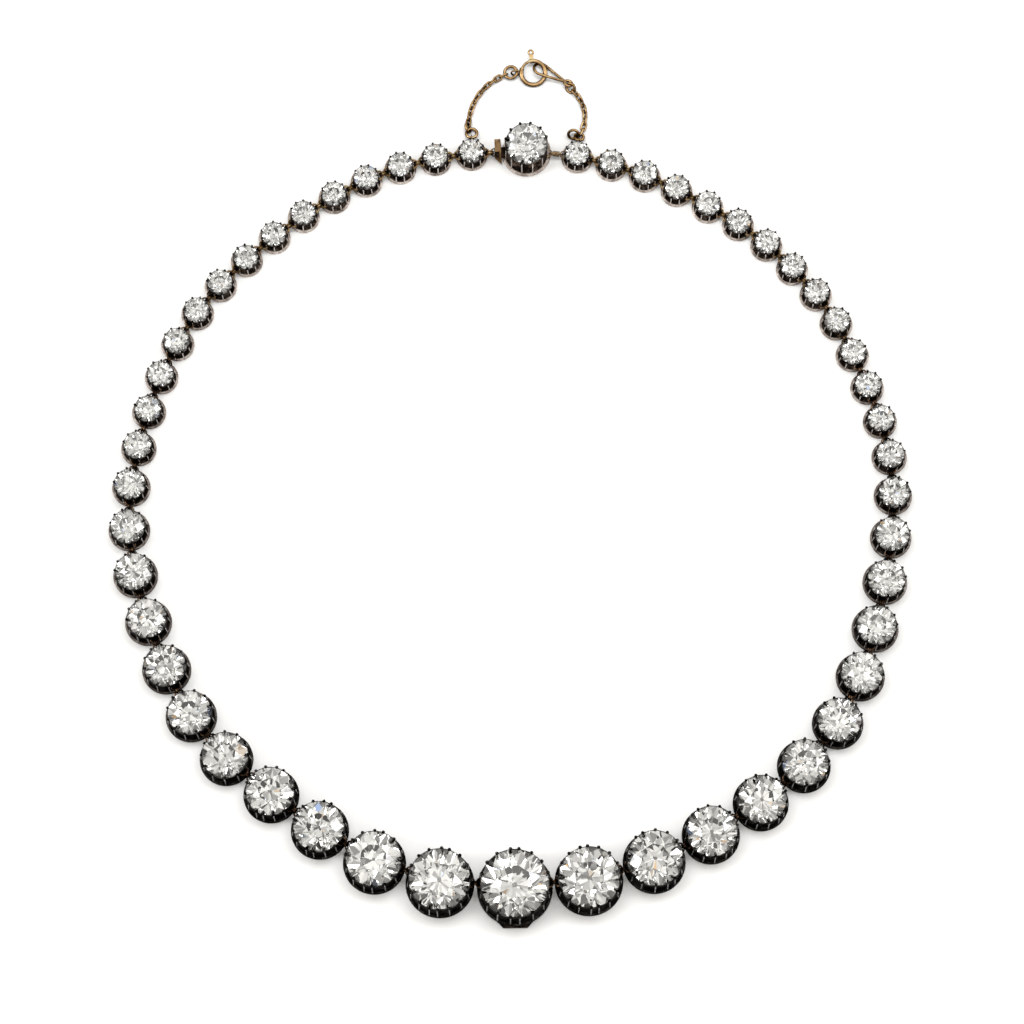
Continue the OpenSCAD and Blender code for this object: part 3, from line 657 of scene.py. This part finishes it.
# Collets
def panel_rows(k, claws, rng):
    """Rows of points up the wall: hollow panels between the claws, scalloped at the top."""
    top = lip_z(k)
    spots = []
    for i, a in enumerate(claws):
        b = claws[(i + 1) % len(claws)] + (360 if i == len(claws) - 1 else 0)
        hollow = rng.uniform(*PANEL_HOLLOW)
        spots += [(a + (b - a) * s / PANEL_STEPS, (a + b) / 2, (b - a) / 2, s / PANEL_STEPS, hollow)
                  for s in range(PANEL_STEPS)]
    wall_h = top - RIM_H
    heights = [RIM_H + rise for rise in WALL_FOOT]
    heights += [RIM_H + wall_h * share for share in WALL_SHARES]
    rows = []
    for z in heights:
        share = (z - RIM_H) / wall_h
        blend = min(1.0, max(0.0, (z - RIM_H) / PANEL_BLEND_H))
        sunk = SCALLOP * max(0.0, (share - SCALLOP_FROM) / (1 - SCALLOP_FROM)) ** 2
        row = []
        for angle, middle, half, t, hollow in spots:
            chord = math.cos(math.radians(half)) / math.cos(math.radians(angle - middle))
            arch = math.sin(math.pi * t)
            r = shown_wall_r(k, z) * (1 + PANEL_FLATNESS * blend * (chord - 1)) - hollow * arch * blend
            turn = math.radians(angle)
            row.append((r * math.cos(turn), r * math.sin(turn), z - sunk * arch))
        rows.append(row)
    return rows


def add_wall(shape, rows, here, slot_half):
    """The wall's skin; a slot as wide as slot_half degrees each way is left open towards +X."""
    n = len(rows[0])
    faces = []
    for j in range(len(rows) - 1):
        for i in range(n):
            right = (i + 1) % n
            corners = [rows[j][i], rows[j][right], rows[j + 1][right], rows[j + 1][i]]
            x, y, z = (sum(c[axis] for c in corners) / 4 for axis in range(3))
            if abs(math.degrees(math.atan2(y, x))) < slot_half and z < SLOT_TOP:
                continue
            faces.append((j * n + i, j * n + right, (j + 1) * n + right, (j + 1) * n + i))
    shape.add([p for row in rows for p in row], faces, WALL, here)


def add_seat(shape, k, lip, here):
    """From the top edge in over the seat and down the inside to the base."""
    stone_r = stone_d(k) / 2
    slope = PAVILION_SHARE / (0.5 - CULET_SHARE / 2)
    seat_top = lift(k) - GIRDLE_T / 2 - STONE_PLAY
    seat_z = seat_top - (SEAT_W + STONE_PLAY) * slope
    inner_r = foot_r(k) - WALL_T
    angles = [math.atan2(y, x) for x, y, z in lip]
    edge = [((stone_r + STONE_PLAY) * math.cos(a), (stone_r + STONE_PLAY) * math.sin(a), p[2])
            for a, p in zip(angles, lip)]
    shape.skin([lip, edge], LIP, here)
    under = [(x, y, seat_top) for x, y, z in edge]
    shape.skin([edge, under], SEAT, here)
    shape.lathe([(stone_r + STONE_PLAY, seat_top), (stone_r - SEAT_W, seat_z),
                 (stone_r - SEAT_W, seat_z - WALL_T / 2), (inner_r, RIM_H), (inner_r, 0)],
                SEAT, here, angles)


def add_claw(shape, k, turn, rng):
    """A rib that runs up the wall, thins, and swells into a claw with its bead on the stone."""
    top = lip_z(k)
    bead_r = bead_d(k) / 2
    rib_r = RIB_D / 2 * (RIB_LEAST + (1 - RIB_LEAST) * bead_d(k) / BEAD_BASE_D) * rng.uniform(*RIB_SPREAD)
    crown = math.atan(CROWN_SHARE / (0.5 - TABLE_SHARE / 2))
    bead_x = lip_r(k) - BEAD_LEAN
    bead_z = lift(k) + GIRDLE_T / 2 + (
        bead_r + BEAD_PLAY_SHARE * STONE_PLAY - (LIP_OUT - BEAD_LEAN) * math.sin(crown)) / math.cos(crown)
    foot = shown_wall_r(k, RIM_H)
    path = [(foot + out, 0, RIM_H + up) for out, up in RIB_FOOT]
    for share in RIB_SHARES:
        z = RIM_H + (top - RIM_H) * share
        path.append((shown_wall_r(k, z), 0, z))
    path += [(lip_r(k) + out, 0, top + up) for out, up in CLAW_NECK]
    path.append((bead_x, 0, bead_z + BEAD_SINK))
    radii = [rib_r * swell for swell in CLAW_SWELL]
    neck = len(RIB_FOOT) + len(RIB_SHARES)
    shape.bar(path[:neck + 1], radii[:neck + 1], RIB, turn)
    shape.bar(path[neck:], radii[neck:], BEAD, turn)
    shape.ball((bead_x, 0, bead_z), bead_r * rng.uniform(*BEAD_SPREAD), BEAD, turn)


def eye_path(reach, half_w, leg, root=EYE_ROOT, steps=12):
    """Half a loop that bulges towards +X, on two straight legs."""
    path = [(-root, -half_w, 0)]
    for i in range(steps + 1):
        a = math.pi * (i / steps - 0.5)
        path.append((leg + reach * math.cos(a), half_w * math.sin(a), 0))
    return path + [(-root, half_w, 0)]


def add_eye(shape, reach, half_w, wire, look, matrix, leg=EYE_LEG):
    path = eye_path(reach, half_w, leg)
    shape.bar(path, [wire / 2] * len(path), look, matrix)


def shown_eye_reach(j):
    if j == LAST_RIGHT:
        return 1.5 * EYE_WIRE + 2 * LINK_PLAY + LINK_WIRE / 2
    return (joint_gap(j) - SHOWN_EYE_WIRE - LINK_PLAY) / 2


def add_collet(shape, k):
    """Rim, wall, seat, claws, the eyes for the links and, beside the clasp, the chain's lug."""
    rng = random.Random(7 * k + 3)
    x, y = collet_at[k]
    here = moved(x, y, base_z(k)) @ turned(heading(k))
    claws = [claw_angle(k, i) for i in range(claw_count(k))]
    rows = panel_rows(k, claws, rng)
    slot_half = math.degrees(math.asin((TONGUE_W / 2 + TONGUE_PLAY) / foot_r(k))) if k == CLASP else 0
    add_wall(shape, rows, here, slot_half)
    add_seat(shape, k, rows[-1], here)
    rim = rim_r(k)
    inner = foot_r(k) - WALL_T
    shape.lathe([(inner, 0), (rim - RIM_ROUND, 0), (rim - RIM_CORNER, RIM_CORNER), (rim, RIM_ROUND),
                 (rim, RIM_H - RIM_TOP_ROUND), (rim - RIM_TOP_CORNER, RIM_H - RIM_TOP_CORNER),
                 (rim - RIM_ROUND, RIM_H),
                 (shown_wall_r(k, RIM_H) - RIM_UNDER_WALL, RIM_H + FINE_GAP)],
                RIM, here, ring_angles(RIM_STEPS))
    if k == CLASP:
        floor_r = inner + FLOOR_UNDER_WALL
        shape.lathe([(FINE_GAP, 0), (floor_r, 0), (floor_r, FLOOR_T), (FINE_GAP, FLOOR_T)],
                    RIM, here, ring_angles(CLASP_FLOOR_STEPS))
    for a in claws:
        add_claw(shape, k, here @ turned(a + rng.uniform(-CLAW_TURN, CLAW_TURN)), rng)

    before = (k - 1) % COUNT
    ends = [(before, direction(before) + 180)]
    if k != CLASP:
        ends.append((k, direction(k)))
    for j, angle in ends:
        reach = shown_eye_reach(j)
        half_w, wire = (reach, EYE_WIRE) if j == LAST_RIGHT else (EYE_HALF_W, SHOWN_EYE_WIRE)
        out = moved(x, y, 0) @ turned(angle) @ moved(wall_at_joint(k, j), 0, joint_z(j))
        add_eye(shape, reach, half_w, wire, LINK, out)
    if k in (LAST_LEFT, LAST_RIGHT):
        angle = LUG_ANGLE_LEFT if k == LAST_LEFT else LUG_ANGLE_RIGHT
        out = moved(x, y, 0) @ turned(angle) @ moved(wall_r(k, LUG_Z), 0, LUG_Z) @ turned(90, "X")
        add_eye(shape, LUG_REACH, LUG_REACH, LUG_WIRE, LINK, out, LUG_LEG)


def collet_piece(name, numbers, node):
    """One worked piece in silver for one node of the frame."""
    shape = Shape()
    for k in numbers:
        add_collet(shape, k)
    looks = [clasp_wall] + silver_looks[1:] if numbers == [CLASP] else silver_looks
    obj = shape.piece(name, looks)
    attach(obj, "necklace")
    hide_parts(node)


def links_piece(name, joints, node):
    """The twin rings that join the collets, and the bound link beside the clasp."""
    shape = Shape()
    for j in joints:
        x, y = collet_at[j]
        middle = joint_start(j) + joint_gap(j) / 2
        out = moved(x, y, joint_z(j)) @ turned(direction(j)) @ moved(middle, 0, 0)
        if j == LAST_RIGHT:
            add_bound_link(shape, joint_gap(j), out)
            continue
        middle_r = (joint_gap(j) - LINK_WIRE - 2 * LINK_PLAY) / 2
        look = GOLD if j == CLASP else LINK
        for side in (-0.5, 0.5):
            shape.hoop(middle_r, SHOWN_LINK_WIRE, look,
                       out @ moved(0, side * TWIN_SPACING, 0) @ turned(90, "X"))
    obj = shape.piece(name, silver_looks + [gold_look])
    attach(obj, "necklace")
    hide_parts(node)


def add_bound_link(shape, room, out):
    """A long upright loop with a few turns of wire round its middle."""
    half_w = (EYE_WIRE + 2 * LINK_PLAY + LINK_WIRE) / 2
    straight = (room - LINK_WIRE - 2 * LINK_PLAY) / 2 - half_w
    upright = out @ turned(90, "X")
    for side in (0, 180):
        end = upright @ turned(side) @ moved(straight, 0, 0)
        add_eye(shape, half_w, half_w, LINK_WIRE, GOLD, end, 0)
        path = [(-2 * straight, half_w, 0), (0, half_w, 0)]
        shape.bar(path, [LINK_WIRE / 2] * 2, GOLD, end)
    for i in range(BOUND_TURNS):
        along = (i - (BOUND_TURNS - 1) / 2) * BOUND_TURN_SPACING
        shape.hoop(half_w + LINK_WIRE / 2, BOUND_TURN_WIRE, GOLD,
                   out @ moved(along, 0, 0) @ turned(90, "Y"))


collet_piece("collet_center_worked", [CENTER], "collet_center")
collet_piece("clasp_box_worked", [CLASP], "clasp_box_collet")
for i in range(1, OWN_NODES + 1):
    collet_piece("collet_left_%d_worked" % i, [CENTER - i], "collet_left_%d" % i)
    collet_piece("collet_right_%d_worked" % i, [CENTER + i], "collet_right_%d" % i)
collet_piece("collets_left_worked", range(LAST_LEFT, CENTER - OWN_NODES), "collets_left")
collet_piece("collets_right_worked", range(CENTER + OWN_NODES + 1, LAST_RIGHT + 1), "collets_right")
links_piece("links_left_worked", range(CLASP, CENTER), "links_left")
links_piece("links_right_worked", range(CENTER, LAST_RIGHT + 1), "links_right")


# Stones
def stone_planes(d, rng):
    """The facets of an old cut, each a little off its place: azimuth, tilt, distance, height."""
    r = d / 2
    table_r = TABLE_SHARE * r
    crown_h = CROWN_SHARE * d
    crown = math.atan(crown_h / (r - table_r))
    tip_r = table_r + STAR_DEPTH * (r - table_r)
    step = 360 / MAIN_FACETS
    between = math.cos(math.radians(step / 2))
    ridge = (r - between * tip_r) * math.tan(crown)
    star = math.atan((crown_h - ridge) / (tip_r - between * table_r))
    aside = math.cos(math.radians(step / 4))
    upper = math.atan(ridge / (aside * (r - tip_r)))
    culet_r = CULET_SHARE * r
    pavilion = math.atan(PAVILION_SHARE * d / (r - culet_r))
    end_r = r * (1 - LOWER_LENGTH)
    depth = (r - between * end_r) * math.tan(pavilion)
    lower = math.atan(depth / (aside * (r - end_r)))
    edge = GIRDLE_T / 2
    planes = []
    for i in range(MAIN_FACETS):
        planes.append((step * i, crown, r, edge))
        planes.append((step * i + step / 2, star, between * table_r, edge + crown_h))
        planes.append((step * i, math.pi - pavilion, r, -edge))
        for side in (-step / 4, step / 4):
            planes.append((step * i + side, upper, aside * r, edge))
            planes.append((step * i + side, math.pi - lower, aside * r, -edge))
    return [(azimuth + rng.uniform(-FACET_TURN, FACET_TURN),
             tilt + math.radians(rng.uniform(-FACET_TILT, FACET_TILT)),
             distance * (1 + rng.uniform(*FACET_SHIFT)), height)
            for azimuth, tilt, distance, height in planes]


def cut_away(body, place, outward):
    """Cuts a closed convex body off at a plane and closes the cut with one facet."""
    geometry = body.verts[:] + body.edges[:] + body.faces[:]
    cut = bmesh.ops.bisect_plane(body, geom=geometry, dist=CUT_TOLERANCE, plane_co=place,
                                 plane_no=outward, clear_outer=True)
    edges = [part for part in cut["geom_cut"] if isinstance(part, bmesh.types.BMEdge)]
    if len(edges) > 2:
        bmesh.ops.edgeloop_fill(body, edges=edges)


def add_stone(shape, k):
    """A round blank, cut to its table and culet and then facet by facet."""
    rng = random.Random(11 * k + 5)
    d = stone_d(k)
    edge = GIRDLE_T / 2
    body = bmesh.new()
    bmesh.ops.create_cone(body, cap_ends=True, segments=STONE_SIDES, radius1=d / 2, radius2=d / 2,
                          depth=2 * d)
    cut_away(body, (0, 0, edge + CROWN_SHARE * d), (0, 0, 1))
    cut_away(body, (0, 0, -edge - PAVILION_SHARE * d), (0, 0, -1))
    for azimuth, tilt, distance, height in stone_planes(d, rng):
        a = math.radians(azimuth)
        away = Vector((math.cos(a), math.sin(a), 0))
        cut_away(body, distance * away + Vector((0, 0, height)),
                 math.sin(tilt) * away + Vector((0, 0, math.cos(tilt))))
    body.verts.index_update()
    x, y = collet_at[k]
    here = moved(x, y, base_z(k) + lift(k)) @ turned(heading(k) + rng.uniform(0, 360 / MAIN_FACETS))
    shape.add([v.co.copy() for v in body.verts], [[v.index for v in face.verts] for face in body.faces],
              0, here)
    body.free()


def stone_piece(name, numbers, node):
    """The cut stones of one node of the frame."""
    shape = Shape()
    for k in numbers:
        add_stone(shape, k)
    obj = shape.piece(name, [stone_look], sharp_from=0.5)
    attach(obj, "necklace")
    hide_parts(node)


stone_piece("stone_center_cut", [CENTER], "stone_center")
stone_piece("stone_clasp_cut", [CLASP], "stone_clasp")
for i in range(1, OWN_NODES + 1):
    stone_piece("stone_left_%d_cut" % i, [CENTER - i], "stone_left_%d" % i)
    stone_piece("stone_right_%d_cut" % i, [CENTER + i], "stone_right_%d" % i)
stone_piece("stones_left_cut", range(LAST_LEFT, CENTER - OWN_NODES), "stones_left")
stone_piece("stones_right_cut", range(CENTER + OWN_NODES + 1, LAST_RIGHT + 1), "stones_right")


# Safety chain
def swollen_piece(node, swell):
    """The node's own form with its surface moved outwards, for wire worn smooth and full."""
    source = nodes[node]
    body = bmesh.new()
    body.from_mesh(source.data)
    body.transform(source.matrix_world)
    bmesh.ops.remove_doubles(body, verts=body.verts[:], dist=MERGE_DISTANCE)
    body.normal_update()
    places = [v.co + swell * MM * v.normal for v in body.verts]
    for v, place in zip(body.verts, places):
        v.co = (place.x, place.y, max(place.z, LEAST_HEIGHT * MM))
    mesh = bpy.data.meshes.new(node + "_worn")
    body.to_mesh(mesh)
    body.free()
    mesh.materials.append(gold_look)
    mesh.polygons.foreach_set("material_index", [0] * len(mesh.polygons))
    mesh.polygons.foreach_set("use_smooth", [True] * len(mesh.polygons))
    obj = bpy.data.objects.new(node + "_worn", mesh)
    scene.collection.objects.link(obj)
    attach(obj, "necklace")
    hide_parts(node)


for name in ("chain_left", "chain_right"):
    swollen_piece(name, CHAIN_SWELL)
for name in ("jump_ring_left", "end_ring_left", "jump_ring_right", "spare_ring_right",
             "round_ring", "link_ring"):
    swollen_piece(name, RING_SWELL)
swollen_piece("drop_loop", LOOP_SWELL)


def paint(name, look):
    """Gives a node of the frame its look and leaves its mesh alone."""
    obj = nodes[name]
    if not obj.material_slots:
        obj.data.materials.append(look)
    for each in obj.material_slots:
        each.material = look


paint("center_plate", plate_look)
paint("clasp_tongue", tongue_look)
paint("bolt_ring", gold_look)
paint("bolt_trigger", gold_look)


# Floor, light and camera
# The studio's fields and the tints of its glints, by the value of their noise
FIELD_TONES = [
    (0.32, (0.05, 0.049, 0.047)), (0.40, (0.31, 0.303, 0.29)), (0.47, (0.62, 0.607, 0.575)),
    (0.54, (0.95, 0.93, 0.88)), (0.64, (1.5, 1.47, 1.4))]
GLINT_TINTS = [
    (0.24, (0.5, 0.72, 1.25)), (0.27, (1, 1, 1)), (0.73, (1, 1, 1)), (0.76, (1.3, 0.85, 0.45))]
# From which and up to which height of a direction the fields grow lighter, and by how much
OVERHEAD = (0.8, 0.95, 0.05)


def add_floor():
    """A wide sheet of pale paper."""
    mat, tree, shader = new_material("paper", (0.93, 0.93, 0.93), 0.0, 0.9)
    grain = noise(tree, object_point(tree), 400)
    tree.links.new(ramp(tree, grain, [(0.3, (0.92, 0.92, 0.92)), (0.7, (0.94, 0.94, 0.94))]),
                   shader.inputs["Base Color"])
    half = 900
    cells = 6
    sunk = 0.005
    shape = Shape()
    spots = [half * (2 * i / cells - 1) for i in range(cells + 1)]
    shape.skin([[(x, y, -sunk) for x in spots] for y in spots], 0, Matrix.Identity(4), round_rows=False)
    shape.piece("floor_sheet", [mat])


def add_world():
    """A studio of bright and dark fields, which the stones break into their pattern."""
    world = bpy.data.worlds.new("studio")
    scene.world = world
    world.use_nodes = True
    tree = world.node_tree
    out = tree.nodes.new("ShaderNodeTexCoord").outputs["Generated"]
    overhead = tree.nodes.new("ShaderNodeMapRange")
    for name, value in zip(("From Min", "From Max", "To Max"), OVERHEAD):
        overhead.inputs[name].default_value = value
    tree.links.new(axis_of(tree, out, "Z"), overhead.inputs["Value"])
    fields = tree.nodes.new("ShaderNodeMath")
    tree.links.new(noise(tree, out, 13, 2, 0.5), fields.inputs[0])
    tree.links.new(overhead.outputs["Result"], fields.inputs[1])
    tones = ramp(tree, fields.outputs["Value"], FIELD_TONES)
    tint = ramp(tree, noise(tree, out, 16, 1, 0.5), GLINT_TINTS)
    background = tree.nodes["Background"]
    tree.links.new(multiplied(tree, tones, tint), background.inputs["Color"])
    background.inputs["Strength"].default_value = 0.9


def add_area_light(name, place, width, depth, watts, seen_in_glints=True):
    """A soft box that faces the middle of the necklace."""
    data = bpy.data.lights.new(name, "AREA")
    data.shape = "RECTANGLE"
    data.size = width
    data.size_y = depth
    data.energy = watts
    obj = bpy.data.objects.new(name, data)
    obj.location = place
    obj.rotation_euler = (-Vector(place)).to_track_quat("-Z", "Y").to_euler()
    obj.visible_glossy = seen_in_glints
    obj.visible_transmission = seen_in_glints
    scene.collection.objects.link(obj)


def add_camera():
    """Nearly overhead, as far and as long as the photograph's view."""
    elevation = math.radians(78.4)
    distance = 0.82
    focal_pixels = 4764
    image_pixels = 1024
    target = Vector((-row_middle[0], -row_middle[1], 0)) * MM
    data = bpy.data.cameras.new("camera")
    data.sensor_width = 36
    data.lens = data.sensor_width * focal_pixels / image_pixels
    data.clip_start = 0.05
    data.clip_end = 20
    obj = bpy.data.objects.new("camera", data)
    obj.location = target + distance * Vector((0, -math.cos(elevation), math.sin(elevation)))
    obj.rotation_euler = (target - obj.location).to_track_quat("-Z", "Y").to_euler()
    scene.collection.objects.link(obj)
    scene.camera = obj


add_floor()
add_world()
add_area_light("key_light", (0, 0.25, 1.15), width=0.9, depth=0.3, watts=8, seen_in_glints=False)
add_area_light("left_light", (-0.9, -0.1, 0.7), width=0.35, depth=0.6, watts=2.5)
add_area_light("right_light", (0.9, 0.1, 0.7), width=0.35, depth=0.6, watts=2.0)
add_camera()
scene.view_settings.view_transform = "Standard"
